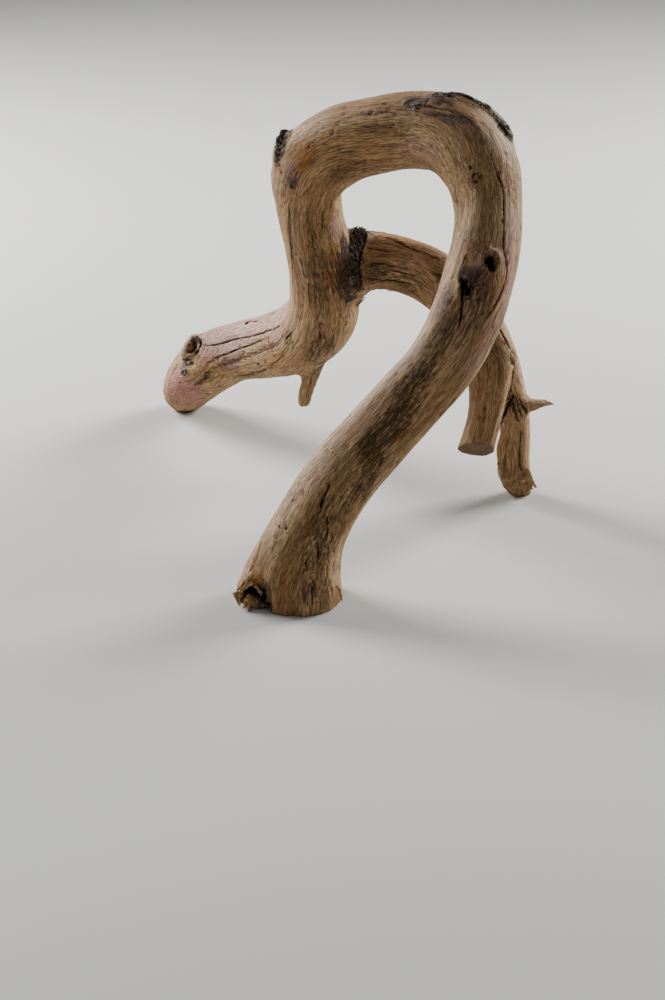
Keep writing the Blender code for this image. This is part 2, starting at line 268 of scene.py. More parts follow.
# Cracks and stains that the camera doesn't see: limb, angle round it, first and last share of its length,
# then the width and depth of a crack, or the reach and strength of a stain
HIDDEN_CRACKS = (
    ("main", 60, 0.10, 0.24, 1, 1.8), ("main", 118, 0.16, 0.33, 0.8, 1.2),
    ("main", 200, 0.30, 0.42, 0.9, 1.6), ("main", 250, 0.34, 0.50, 0.8, 1.3),
    ("main", 20, 0.44, 0.58, 0.9, 1.5), ("main", 95, 0.55, 0.69, 0.8, 1.4),
    ("main", 150, 0.62, 0.78, 1, 1.8), ("main", 300, 0.72, 0.88, 0.9, 1.5),
    ("main", 40, 0.80, 0.93, 0.8, 1.2), ("branch", 80, 0.20, 0.46, 0.8, 1.3),
    ("branch", 170, 0.35, 0.60, 0.8, 1.2), ("branch", 250, 0.70, 0.90, 0.7, 1),
)
HIDDEN_STAINS = (
    ("main", 80, 0.18, 0.30, 11, 0.8), ("main", 140, 0.34, 0.46, 12, 0.7),
    ("main", 30, 0.48, 0.58, 11, 0.7), ("main", 110, 0.64, 0.76, 12, 0.8),
    ("main", 200, 0.80, 0.92, 10, 0.7), ("branch", 120, 0.28, 0.50, 8, 0.7),
)

# Weather on the sides that the camera doesn't see: tint, size across and along the grain, seed of the
# noise, the least noise that shows, and strength
FAR_SIDE = (
    ("dark", 14, 75, 21, 0.05, 0.75), ("dark", 6, 30, 22, 0.15, 0.6), ("orange", 12, 55, 23, 0.1, 0.7),
    ("violet", 10, 40, 24, 0.15, 0.7),
)

# Bark and knots that the camera doesn't see: limb, share of its length, and then the first and last angle
# round it, the width and the strength, or the angle, radius, depth, stretch and kind
HIDDEN_BARK = (
    ("branch", 0.07, (0, 200), 6, 0.9), ("branch", 0.085, (170, 360), 7, 0.9),
)
HIDDEN_KNOTS = (
    ("main", 0.19, 95, 3.4, 1.6, 1.3, "ring"), ("main", 0.38, 230, 2.6, 2.2, 1.3, "hole"),
    ("main", 0.53, 60, 3, 1.4, 1.2, "ring"), ("main", 0.71, 130, 3.2, 1.6, 1.3, "ring"),
    ("main", 0.86, 60, 2.2, 1.8, 1.4, "hole"), ("branch", 0.55, 110, 2.4, 1.2, 1.3, "ring"),
)

# The sawn end of the stump: a place on it, the way it faces, and how far the saw reaches round it
SAWN_PLACE = (84, -47, 49)
SAWN_FACING = (-0.15, -0.6, -0.78)
SAWN_REACH = 24.0
SAWN_BACK = 0.9
SAWN_RELIEF = 0.22
SAWN_RING_PACE = 2.6
END_RINGS = 8

# Swellings and hollows of the skin: picture point, reach, stretch along the grain, height
SWELLINGS = (
    (491, 262, 10, 1.3, 1.4), (466, 291, 8, 1.5, 1), (441, 98, 9, 1.8, 1.2), (507, 130, 7, 1.5, 1),
    (285, 138, 8, 1.3, 1.2), (285, 134, 3.6, 1, 1.8), (280, 142, 3.2, 1, 1.6), (277, 152, 3, 1.2, 1.2),
    (358, 237, 10, 1, 4), (365, 237, 7, 1, 2.4), (352, 237, 6, 1, 2.5), (359, 299, 5, 1, 1.6),
    (188, 342, 8, 1.2, 1), (340, 600, 5, 1.5, 1.2), (339, 562, 14, 1.6, -1.8), (507, 476, 11, 1.3, 4.2),
    (503, 452, 10, 1.6, 2.8), (509, 488, 7, 1, 1.6), (241, 577, 14, 1.2, -2.8), (248, 560, 12, 1.2, -1.4),
    (528.5, 484, 6, 1.2, 2.4), (513, 358, 7, 1.2, 0.8), (392, 240, 8, 2.5, 0.8),
)

# The torn side root of the front foot: hollows as (width, depth, picture points), and the broken chunk and
# the ragged shell as (picture point, reach, height, roughness)
# The hollows are also coloured near black as painted shade.
TORN_HOLLOWS = (
    (3.6, 5.5, ((243, 593), (248, 591), (254, 592), (259, 594))),
    (6, 7, ((259, 594), (261, 601), (264, 611))),
    (1.4, 2, ((240, 603), (243, 599), (246, 596))),
)
TORN_LUMPS = (
    ((249, 605), 4.5, 1.2, 1.6), ((240, 588), 4, 0.6, 0.6), ((254, 579), 6, 0.4, 1.2),
)

# Torn strands and flakes of bark: the picture points of a strand's root and tip, its width, how far its tip
# stands off, how many lie side by side, and how far they spread
STRANDS = (
    ((250, 577), (236, 594), 1.4, 0.6, 5, 1.6), ((251, 581), (241, 592), 1.2, 0.8, 4, 1.8),
    ((236, 592), (239, 606), 1.2, 0.4, 4, 1.8), ((246, 598), (244, 609), 1.3, 0.8, 3, 1.6),
    ((249, 598), (249, 613), 1.6, 0.8, 4, 2), ((252, 600), (254, 608), 1.2, 0.6, 3, 1.4),
    ((255, 586), (263, 596), 0.9, 0.6, 3, 2.2), ((337, 586), (342, 601), 0.9, 0.2, 3, 1.2),
    ((526, 469), (536.5, 488), 3, 0.1, 2, 0.3), ((524, 475), (533, 490), 2.8, 0.1, 2, 0.5),
    ((521, 479), (529, 493), 2.6, 0.1, 2, 0.6), ((517, 482), (524, 496), 2.4, 0.1, 2, 0.8),
    ((356, 306), (366, 297), 0.9, 0.6, 3, 0.8), ((514, 478), (514, 492), 0.8, 0.3, 3, 2.4),
    ((519, 478), (521, 491), 0.8, 0.3, 3, 2),
)
FLAKES = (
    ((357, 232), (359, 225), 1.6, 0.3, 3, 2.4), ((363, 234), (368, 229), 1.4, 0.3, 3, 1.6),
    ((352, 238), (352, 230), 1.4, 0.4, 2, 1.2), ((358, 244), (354, 239), 1.5, 0.6, 3, 2),
    ((360, 298), (365, 296), 1.2, 0.6, 2, 1.2), ((443, 95), (446, 89), 1.3, 0.5, 4, 2.6),
    ((284, 142), (280, 133), 1.2, 0.8, 3, 2.2), ((280, 152), (275, 145), 1.1, 0.8, 3, 1.8),
    ((504, 128), (510, 124), 1, 0.5, 2, 1.8),
)
STRAND_SIDES = 6
STRAND_CUTS = 4
STRAND_SINK = 0.7
STRAND_TIP = 0.3
STRAND_FLATNESS = 0.6
STRAND_BEND = 0.07
STRAND_GATHER = 0.7
STRAND_LENGTHS = (0.65, 1.05)
STRAND_LIFTS = (0.2, 1.4)
STRAND_WIDTHS = (0.6, 1.1)
STRAND_SEED = 5

# Fixed colours of small places: the painted highlight on the bark's raised ridges, torn fibres and the sawn
# end
BARK_RIDGE_HIGHLIGHT = (0.34, 0.28, 0.225)
SPLINTER_DARK = (0.30, 0.16, 0.06)
SPLINTER_LIGHT = (0.75, 0.54, 0.32)
CUT_DARK = (0.10, 0.06, 0.032)
CUT_LIGHT = (0.27, 0.18, 0.10)

# The skin's faces: what is merged first, how far finer faces reach round a mark, and how it is evened out
MERGE_MM = 0.005
FINE_REACH = 3.0
FINEST_REACH = 1.3
SMOOTH_ROUNDS = 12
SMOOTH_SHARE = 0.5
SWELL_SHARE = -0.52

# How far marks reach, how close together their places are found, how soft the edges between limbs are,
# and how far back on the left limb the upward faces take more pale tint: partly sun bleaching, partly
# painted light
CRACK_REACH = 4.0
LIP_REACH = 3.9
STREAK_REACH = 5.0
HOLLOW_REACH = 8.0
SPOT_SPREAD = 1.5
PATH_STEP = 1.4
RING_STEP = 12
HIDDEN_CLEARANCE = 6.0
JOIN_ROUNDS = 16
EDGE_ROUNDS = 4
FLOOR_FADE = 2.5
BLEACHED_AND_LIT_FROM = (60.0, 110.0)

# How far each seed moves a noise
NOISE_SHIFT = 7.31
LUMPS_SHIFT = 5.17

# The studio in metres, and its lights: name, setting, share of that power, size and place
FLOOR_SIZE = 12.0
FLOOR_ROUGHNESS = 0.7
SURROUND_COLOUR = (0.93, 0.95, 1.0, 1.0)
LIGHTS = (
    ("left_light", "side_light", 1.0, 0.9, (-1.3, 1.0, 0.8)),
    ("right_light", "side_light", 0.8, 0.9, (1.35, 0.9, 0.8)),
    ("front_light", "front_light", 1.0, 1.4, (-0.5, -2.0, 1.5)),
)


def length_setting(name, description, default, most, least=0.0):
    """A length property, from millimetres."""
    return FloatProperty(
        name=name, description=description, default=default * MM, min=least * MM, max=most * MM,
        unit="LENGTH",
    )


def colour_setting(name, description, default):
    """A colour property."""
    return FloatVectorProperty(
        name=name, description=description, default=default, subtype="COLOR", min=0.0, max=1.0,
    )


def power_setting(name, description, default):
    """A lamp's power property."""
    return FloatProperty(
        name=name, description=description, default=default, min=0.0, max=500.0, unit="POWER",
    )


class RootShape(PropertyGroup):
    """How deeply the wood's skin is worked."""

    face: length_setting("Face size", "Edge length of the skin's even faces", 1.95, 5.0, 1.0)
    flutes: length_setting("Flutes", "Height of the long soft ridges that follow the grain", 0.55, 2.0)
    fibres: length_setting("Fibres", "Height of the small ridges between the flutes", 0.22, 1.0)
    bark: length_setting("Bark", "Height of the old bark's broken crust", 1.5, 4.0)
    cracks: FloatProperty(
        name="Crack depth", description="Share of each drying crack's own depth",
        default=1.0, min=0.0, max=2.0, subtype="FACTOR",
    )


class RootColours(PropertyGroup):
    """The colours that weathering gave the wood, and the painted light and shade laid over them."""

    wood: colour_setting("Wood", "Dry wood between its streaks", (0.31, 0.185, 0.088))
    straw: colour_setting("Light streaks", "The light streaks along the grain", (0.50, 0.33, 0.175))
    umber: colour_setting("Brown streaks", "The brown streaks along the grain", (0.15, 0.080, 0.036))
    # The bleached colour also serves as painted light on upward faces and lit rims.
    pale: colour_setting("Bleached wood", "Wood that sun and water have bleached", (0.48, 0.295, 0.225))
    # The dark stain colour also paints shade into the flute furrows and fine cracks, and into the dark spots
    # that fill shadowed places.
    stain: colour_setting("Dark stain", "Black-brown stains of damp", (0.035, 0.022, 0.014))
    orange: colour_setting("Orange stain", "Ochre and orange tints", (0.34, 0.15, 0.035))
    violet: colour_setting("Violet stain", "Violet-brown tints", (0.12, 0.075, 0.07))
    rose: colour_setting("Rose stain", "The pink where orange and violet overlap", (0.42, 0.21, 0.155))
    bark: colour_setting("Bark", "Old black-brown bark", (0.125, 0.092, 0.068))
    # The crack colour is painted shade: near black, it darkens the insides of cracks, holes, knot grooves,
    # the torn root's hollows and the bark's furrows.
    crack: colour_setting("Crack", "The inside of cracks and holes", (0.012, 0.007, 0.004))


class StudioSettings(PropertyGroup):
    """The floor and the light."""

    floor: colour_setting("Floor", "The pale floor's colour", (0.62, 0.61, 0.59))
    side_light: power_setting("Side lights", "Power of the two large soft lights behind the root", 50.0)
    front_light: power_setting("Front light", "Power of the soft light beside the camera", 6.0)
    surround: FloatProperty(
        name="Surround", description="Strength of the even light from all round",
        default=0.14, min=0.0, max=5.0,
    )


def smoothstep(low, high, values):
    """0 below low and 1 above high, with a soft change between, for arrays and numbers."""
    share = np.clip((values - low) / (high - low), 0.0, 1.0)
    return share * share * (3.0 - 2.0 * share)


def unit(vectors):
    """Vectors, along the last axis, brought to length 1."""
    return vectors / np.maximum(np.linalg.norm(vectors, axis=-1, keepdims=True), 1e-9)


def hump(values, middle, width):
    """1 where the values are at the middle, falling off softly over the width on both sides."""
    return np.exp(-(((values - middle) / width) ** 2))


def found_ones(places):
    """The places that were found, as an array."""
    return np.array([place for place in places if place is not None])


def each_once(items):
    """The items without repeats, in the order that they come in, so that every run is the same."""
    return list(dict.fromkeys(items))


def tree_of(places):
    """A tree that finds the nearest of some places."""
    places = list(places)
    tree = kdtree.KDTree(len(places))
    for i, place in enumerate(places):
        tree.insert(place, i)
    tree.balance()
    return tree


def read(items, name, width=3, kind=float):
    """One property of a mesh's vertices or edges, a row each."""
    values = np.empty(len(items) * width, dtype=kind)
    items.foreach_get(name, values)
    return values.reshape(-1, width)


def mesh_of(bm, name):
    """A mesh made from a bmesh, which is then freed."""
    mesh = bpy.data.meshes.new(name)
    bm.to_mesh(mesh)
    bm.free()
    return mesh


def smooth_line(points, step):
    """Points about one step apart on a smooth curve through the given points."""
    given = np.array(points, dtype=float)
    ends = np.vstack((2 * given[0] - given[1], given, 2 * given[-1] - given[-2]))
    line = []
    for before, start, end, after in zip(ends, ends[1:], ends[2:], ends[3:]):
        count = max(1, round(np.linalg.norm(end - start) / step))
        for t in np.arange(count) / count:
            square = (2 * before - 5 * start + 4 * end - after) * t**2
            cube = (3 * start - before - 3 * end + after) * t**3
            line.append(0.5 * (2 * start + (end - before) * t + square + cube))
    line.append(given[-1])
    return np.array(line)


def averaged(values, edges, weights):
    """Each vertex's row of values, moved towards the mean of its neighbours' by its weight."""
    first, second = edges.T
    neighbours = np.maximum(np.bincount(edges.ravel(), minlength=len(values)), 1)
    mean = np.empty_like(values)
    for axis in range(values.shape[1]):
        column = values[:, axis]
        total = np.bincount(first, column[second], len(column))
        total += np.bincount(second, column[first], len(column))
        mean[:, axis] = total / neighbours
    return values + (mean - values) * weights[:, None]


class Limb:
    """A limb's middle line, with its length so far and two side directions that don't twist along it."""

    def __init__(self, points, parent=None):
        stations = smooth_line(points, GRAIN_STEP)
        self.line, self.radius = stations[:, :3], stations[:, 3]
        self.along = unit(np.gradient(self.line, axis=0))
        steps = np.linalg.norm(np.diff(self.line, axis=0), axis=1)
        self.length = np.concatenate(((0.0,), np.cumsum(steps)))
        side, self.offset = np.array((1.0, 0.0, 0.0)), np.zeros(3)
        if parent:
            nearest = parent.nearest(self.line[:1])
            side, self.offset = parent.side[nearest[0]], parent.grain(self.line[:1], nearest)[0]
        self.side = np.empty_like(self.line)
        for i, along in enumerate(self.along):
            side = unit(side - along * (side @ along))
            self.side[i] = side
        self.up = np.cross(self.along, self.side)

    def nearest(self, places):
        """The index of the station nearest to each place."""
        tree = tree_of(self.line)
        return np.array([tree.find(place)[1] for place in places])

    def outward(self, i, angle):
        """The way out from station i, at an angle in degrees round the limb."""
        turn = math.radians(angle)
        return math.cos(turn) * self.side[i] + math.sin(turn) * self.up[i]

    def grain(self, places, nearest):
        """Each place across the limb, two ways, and along it."""
        away = places - self.line[nearest]
        ahead = np.sum(away * self.along[nearest], axis=1)
        across = np.sum(away * self.side[nearest], axis=1)
        above = np.sum(away * self.up[nearest], axis=1)
        return np.column_stack((across, above, self.length[nearest] + ahead)) + self.offset

    def reach(self, places, nearest):
        """How far each place lies from the middle line, as a share of the limb's radius there."""
        away = places - self.line[nearest]
        ahead = np.sum(away * self.along[nearest], axis=1)
        sideways = away - ahead[:, None] * self.along[nearest]
        outside = (nearest == 0) & (ahead < 0) | (nearest == len(self.line) - 1) & (ahead > 0)
        past_end = np.where(outside, ahead, 0)
        return np.hypot(np.linalg.norm(sideways, axis=1), past_end) / self.radius[nearest]


def grown_limbs():
    """Every limb by name, each starting in its parent's grain."""
    limbs = {}
    for name, (parent, points) in LIMBS.items():
        limbs[name] = Limb(points, limbs.get(parent))
    return limbs


def camera_turn():
    """The camera's turn: it looks along +Y, down a little, and leans."""
    down = Euler((math.radians(90.0 - CAMERA_DOWN), 0.0, 0.0)).to_matrix()
    return down @ Matrix.Rotation(math.radians(CAMERA_LEAN), 3, "Z")


class Skin:
    """The wood's surface as arrays in millimetres, which the carving adds heights and tints to."""

    TINTS = ("dark", "orange", "pale", "violet", "bark", "crack", "raw", "end")

    def __init__(self, mesh):
        self.mesh = mesh
        self.places = read(mesh.vertices, "co") / MM
        self.outward = read(mesh.vertices, "normal")
        self.edges = read(mesh.edges, "vertices", 2, int)
        count = len(self.places)
        self.height = np.zeros(count)
        self.recess = np.zeros(count)
        self.tint = {name: np.zeros(count) for name in self.TINTS}
        self.grain_of_limbs()

    def grain_of_limbs(self):
        """Finds each vertex's limb, and its place across and along that limb's grain."""
        limbs = grown_limbs()
        reaches, grains, alongs = [], [], []
        for limb in limbs.values():
            nearest = limb.nearest(self.places)
            reaches.append(limb.reach(self.places, nearest))
            grains.append(limb.grain(self.places, nearest))
            alongs.append(limb.along[nearest])
        reaches = np.array(reaches)
        self.limb = np.argmin(reaches, axis=0)
        rows = np.arange(len(self.limb))
        self.grain = np.array(grains)[self.limb, rows]
        self.along = np.array(alongs)[self.limb, rows]
        ordered = np.sort(reaches, axis=0)
        near_join = 1.0 - smoothstep(0.12, 0.4, ordered[1] - ordered[0])
        self.grain = self.softened(self.grain, near_join, JOIN_ROUNDS)
        self.along = unit(self.softened(self.along, near_join, JOIN_ROUNDS))

    def closest(self, place):
        """The index of the vertex nearest to a place."""
        return int(np.argmin(np.sum((self.places - place) ** 2, axis=1)))

    def share_of(self, limb):
        """How far each vertex belongs to a limb, softened over its edge."""
        own = (self.limb == list(LIMBS).index(limb)) * 1.0
        return self.softened(own[:, None], np.ones(len(own)), EDGE_ROUNDS)[:, 0]

    def stain(self, name, amounts):
        """Raises a tint to the given amounts where it is weaker."""
        self.tint[name] = np.maximum(self.tint[name], amounts)

    def softened(self, values, where, rounds):
        """Values averaged with their neighbours', where the weights say, round after round."""
        for _ in range(rounds):
            values = averaged(values, self.edges, where)
        return values

    def noise(self, across, along, seed, detail=1):
        """Noise that is drawn out along the grain: lengths in millimetres across and along it."""
        scale = np.array((1.0 / across, 1.0 / across, 1.0 / along))
        return self.sampled(self.grain * scale + seed * NOISE_SHIFT, detail)

    def lumps(self, size, seed, detail=1):
        """Even noise with lumps of that size in millimetres."""
        return self.sampled(self.places / size + seed * LUMPS_SHIFT, detail)

    @staticmethod
    def sampled(points, detail):
        """Noise at each point, of one octave or of several."""
        if detail == 1:
            return np.array([noise.noise(point) for point in points.tolist()])
        return np.array([noise.fractal(point, 0.9, 2.1, detail) for point in points.tolist()])

    def spot(self, place, along, reach, stretch):
        """1 at a place and 0 at its reach, drawn out along the grain."""
        away = self.places - place
        ahead = away @ along
        squares = np.sum(away * away, axis=1) - ahead**2 * (1.0 - 1.0 / stretch**2)
        return np.clip(1.0 - squares / reach**2, 0.0, 1.0)

    def distance(self, path, reach):
        """Each vertex's distance to a path, where it is under the reach, and its share of the way along."""
        found = np.full(len(self.places), float(reach))
        share = np.zeros(len(self.places))
        low, high = path.min(axis=0) - reach, path.max(axis=0) + reach
        near = np.where(np.all((self.places > low) & (self.places < high), axis=1))[0]
        places = self.places[near]
        for i, (start, end) in enumerate(zip(path, path[1:])):
            run = end - start
            t = np.clip((places - start) @ run / max(run @ run, 1e-9), 0.0, 1.0)
            away = np.linalg.norm(places - start - t[:, None] * run, axis=1)
            closer = away < found[near]
            found[near[closer]] = away[closer]
            share[near[closer]] = (i + t[closer]) / (len(path) - 1)
        return found, share


class Finder:
    """Finds places on the wood: through a point of the picture, or outward from a limb's middle."""

    def __init__(self, bm):
        self.tree = BVHTree.FromBMesh(bm)
        self.turn = camera_turn()

    def ray(self, u, v):
        """The way from the camera through a picture point, one unit ahead."""
        across, above = (u - PICTURE_WIDTH / 2) / FOCAL_PIXELS, (PICTURE_HEIGHT / 2 - v) / FOCAL_PIXELS
        return self.turn @ Vector((across, above, -1.0))

    def seen(self, u, v):
        """The place that the camera sees at a picture point, in millimetres, or None."""
        hit = self.tree.ray_cast(Vector(CAMERA_PLACE), self.ray(u, v).normalized())
        return None if hit[0] is None else np.array(hit[0]) / MM

    def beside(self, u, v, place):
        """The place at a picture point that is as far ahead of the camera as a given place."""
        ahead = self.turn @ Vector((0.0, 0.0, -1.0))
        far = (Vector(place) * MM - Vector(CAMERA_PLACE)).dot(ahead)
        return np.array(Vector(CAMERA_PLACE) + self.ray(u, v) * far) / MM

    def seen_path(self, points):
        """The places along a line of picture points, as far as it lies on the wood."""
        return found_ones(self.seen(u, v) for u, v in smooth_line(points, PATH_STEP))

    def outer(self, middle, direction):
        """The place on the skin outward from a limb's middle, or None where the camera sees it."""
        hit = self.tree.ray_cast(Vector(middle * MM), Vector(direction))[0]
        if hit is None:
            return None
        first = self.tree.ray_cast(Vector(CAMERA_PLACE), (hit - Vector(CAMERA_PLACE)).normalized())[0]
        in_view = first is not None and (first - hit).length < HIDDEN_CLEARANCE * MM
        return None if in_view else np.array(hit) / MM

    def hidden_path(self, limb, angle, first, last):
        """The places along a limb at an angle round it, between two shares of its length."""
        start, end = (int(share * (len(limb.line) - 1)) for share in (first, last))
        return found_ones(self.outer(limb.line[i], limb.outward(i, angle)) for i in range(start, end + 1))

    def hidden_ring(self, limb, share, angles):
        """The places round a limb, from one angle to another, at a share of its length."""
        at = int(share * (len(limb.line) - 1))
        turns = range(*angles, RING_STEP)
        return found_ones(self.outer(limb.line[at], limb.outward(at, angle)) for angle in turns)


def even_copy(face):
    """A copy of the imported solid, remeshed into even small faces and smoothed, as a bmesh in metres."""
    bm = bmesh.new()
    bm.from_mesh(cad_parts[NODE].data)
    bmesh.ops.remove_doubles(bm, verts=bm.verts, dist=MERGE_MM * MM)
    mesh = bpy.data.meshes.new("even_copy")
    bm.to_mesh(mesh)
    copy = bpy.data.objects.new("even_copy", mesh)
    bpy.context.collection.objects.link(copy)
    remesh = copy.modifiers.new("Remesh", "REMESH")
    remesh.mode = "VOXEL"
    remesh.voxel_size = face
    remeshed = bpy.data.meshes.new_from_object(copy.evaluated_get(bpy.context.evaluated_depsgraph_get()))
    bm.clear()
    bm.from_mesh(remeshed)
    bpy.data.objects.remove(copy)
    bpy.data.meshes.remove(mesh)
    bpy.data.meshes.remove(remeshed)
    relax(bm)
    return bm


def relax(bm):
    """Evens the remeshed surface out: each smoothing step is followed by one that swells it back."""
    bm.verts.index_update()
    places = np.array([v.co for v in bm.verts])
    edges = np.array([[v.index for v in e.verts] for e in bm.edges])
    everywhere = np.ones(len(places))
    for _ in range(SMOOTH_ROUNDS):
        places = averaged(places, edges, everywhere * SMOOTH_SHARE)
        places = averaged(places, edges, everywhere * SWELL_SHARE)
    for vert, place in zip(bm.verts, places):
        vert.co = place


def saw_end(bm):
    """Cuts the stump's rounded end off flat again, and gives the cut rings of faces for its growth rings."""
    place, facing = Vector(SAWN_PLACE) * MM, Vector(SAWN_FACING).normalized()
    near = [v for v in bm.verts if (v.co - place).length < SAWN_REACH * MM]
    faces = each_once(f for v in near for f in v.link_faces)
    edges = each_once(e for f in faces for e in f.edges)
    verts = each_once(v for f in faces for v in f.verts)
    bmesh.ops.bisect_plane(
        bm,
        geom=[*verts, *edges, *faces],
        plane_co=place - facing * SAWN_BACK * MM,
        plane_no=facing,
        clear_outer=True,
    )
    rim = [e for e in bm.edges if e.is_boundary]
    rim_verts = each_once(v for e in rim for v in e.verts)
    middle = sum((v.co for v in rim_verts), Vector()) / len(rim_verts)
    for ring in range(END_RINGS, 0, -1):
        made = bmesh.ops.extrude_edge_only(bm, edges=rim)["geom"]
        rim = [e for e in made if isinstance(e, bmesh.types.BMEdge)]
        verts = [v for v in made if isinstance(v, bmesh.types.BMVert)]
        inwards = Vector((1, 1, 1)) * ring / (ring + 1)
        bmesh.ops.scale(bm, vec=inwards, verts=verts, space=Matrix.Translation(-middle))
    cap = bmesh.ops.contextual_create(bm, geom=rim)["faces"]
    bmesh.ops.poke(bm, faces=cap)
    bmesh.ops.recalc_face_normals(bm, faces=bm.faces)


def refine(bm, places, reach):
    """Splits the faces near the given places, in millimetres, in four."""
    tree = tree_of(Vector(place) * MM for place in places)
    near = {v for v in bm.verts if tree.find(v.co)[2] < reach * MM}
    edges = [e for e in bm.edges if e.verts[0] in near and e.verts[1] in near]
    bmesh.ops.subdivide_edges(bm, edges=edges, cuts=1, use_grid_fill=True)


def blade(bm, start, end, width, bend, sideways):
    """One tapered, slightly bent strand, flatter than it is wide, between two places in millimetres."""
    before = len(bm.verts)
    run = Vector(end - start) * MM
    bmesh.ops.create_cone(
        bm,
        cap_ends=True,
        segments=STRAND_SIDES,
        radius1=width * MM,
        radius2=width * STRAND_TIP * MM,
        depth=run.length,
    )
    bm.verts.ensure_lookup_table()
    edges = each_once(e for v in bm.verts[before:] for e in v.link_edges)
    sides = [e for e in edges if abs(e.verts[0].co.z - e.verts[1].co.z) > run.length / 2]
    bmesh.ops.subdivide_edges(bm, edges=sides, cuts=STRAND_CUTS, use_grid_fill=True)
    bm.verts.ensure_lookup_table()
    verts = bm.verts[before:]
    bmesh.ops.scale(bm, vec=(1.0, STRAND_FLATNESS, 1.0), verts=verts)
    for vert in verts:
        vert.co.x += bend * run.length * (1.0 - (2.0 * vert.co.z / run.length) ** 2)
    ahead = run.normalized()
    across = (sideways - ahead * sideways.dot(ahead)).normalized()
    turn = Matrix((across, ahead.cross(across), ahead)).transposed().to_4x4()
    middle = Vector(start) * MM + run / 2
    bmesh.ops.transform(bm, matrix=Matrix.Translation(middle) @ turn, verts=verts)


def strands_mesh(finder, table, chance):
    """Torn strands or flakes of bark, each from a root sunk in the wood to a tip that stands off it."""
    bm = bmesh.new()
    for first, last, width, lift, count, spread in table:
        root, tip = finder.seen(*first), finder.seen(*last)
        tip = finder.beside(*last, root) if tip is None else tip
        forwards = unit(np.array(CAMERA_PLACE) / MM - root)
        sideways = unit(np.cross(tip - root, forwards))
        for _ in range(count):
            start = root + sideways * chance.uniform(-spread, spread) - forwards * STRAND_SINK
            end = root + (tip - root) * chance.uniform(*STRAND_LENGTHS)
            aside = sideways * chance.uniform(-spread, spread) * STRAND_GATHER
            end += aside + forwards * lift * chance.uniform(*STRAND_LIFTS)
            bend = chance.uniform(-STRAND_BEND, STRAND_BEND)
            blade(bm, start, end, width * chance.uniform(*STRAND_WIDTHS), bend, Vector(sideways))
    return mesh_of(bm, "strands")


def mark_paths(finder, limbs):
    """Where every crack and streak runs on the wood, as (kind, width, depth or strength, path)."""
    paths = [("crack", width, depth, finder.seen_path(points)) for width, depth, points in CRACKS]
    paths += [("streak", width, amount, finder.seen_path(points)) for width, amount, points in STREAKS]
    for name, angle, first, last, width, depth in HIDDEN_CRACKS:
        paths.append(("crack", width, depth, finder.hidden_path(limbs[name], angle, first, last)))
    for name, angle, first, last, width, amount in HIDDEN_STAINS:
        paths.append(("stain", width, amount, finder.hidden_path(limbs[name], angle, first, last)))
    for name, share, angles, width, amount in HIDDEN_BARK:
        paths.append(("bark", width, amount, finder.hidden_ring(limbs[name], share, angles)))
    return [path for path in paths if len(path[3]) > 1]


def mark_knots(finder, limbs):
    """Where every knot lies on the wood, as (place, radius, depth, stretch, kind)."""
    knots = [(finder.seen(u, v), *rest) for u, v, *rest in KNOTS]
    for name, share, angle, *rest in HIDDEN_KNOTS:
        found = finder.hidden_ring(limbs[name], share, (angle, angle + 1))
        knots += [(place, *rest) for place in found]
    return knots


def carve_flutes(skin, shape):
    """Long soft ridges and small fibres along the grain."""
    ridges = skin.noise(across=7.0, along=130.0, seed=1) + 0.5 * skin.noise(across=3.6, along=70.0, seed=2)
    strength = 0.55 + 0.9 * np.clip(skin.lumps(size=60.0, seed=3), -0.4, 0.6)
    skin.height += shape.flutes / MM * ridges * strength
    skin.height += shape.fibres / MM * skin.noise(across=2.2, along=34.0, seed=4)


def carve_cracks(skin, paths, shape):
    """Drying cracks, a little ragged and closing at their ends, and the painted shade inside them."""
    wander = skin.noise(across=2.5, along=9.0, seed=5)
    ragged = skin.noise(across=6.0, along=16.0, seed=15, detail=3)
    for kind, width, amount, path in paths:
        if kind == "crack":
            away, share = skin.distance(path, CRACK_REACH)
            ends = smoothstep(0.0, 0.12, share) * (1.0 - smoothstep(0.86, 1.0, share))
            half = width / 2 * (0.9 + 0.9 * wander) * (0.3 + 0.7 * ends)
            cut = 1.0 - smoothstep(0.25, 1.0, away / np.maximum(half * 1.6, 0.1))
            lip = hump(away, 1.3 * width, width) * (away < LIP_REACH)
            skin.height -= amount * shape.cracks * cut * (0.4 + 0.6 * ends)
            skin.height += 0.08 * amount * lip * ends
            # Painted shade: the crack colour darkens the carved groove.
            skin.stain("crack", cut * (0.55 + 0.45 * ends))
            skin.stain("dark", 0.35 * ends * (1.0 - smoothstep(0.5, 2.2, away)))
        elif kind == "streak":
            away, share = skin.distance(path, STREAK_REACH)
            ends = smoothstep(0.0, 0.2, share) * (1.0 - smoothstep(0.8, 1.0, share))
            line = 1.0 - smoothstep(0.3, 1.2, away / (width * (0.8 + 0.5 * wander)))
            skin.stain("dark", amount * line * ends)
            skin.height -= 0.55 * amount * line * ends
        else:
            away, _ = skin.distance(path, width * 1.5)
            band = 1.0 - smoothstep(0.2, 1.4, away / width + 1.2 * ragged)
            name = "bark" if kind == "bark" else "dark"
            skin.stain(name, amount * band * (away < width * 1.5))


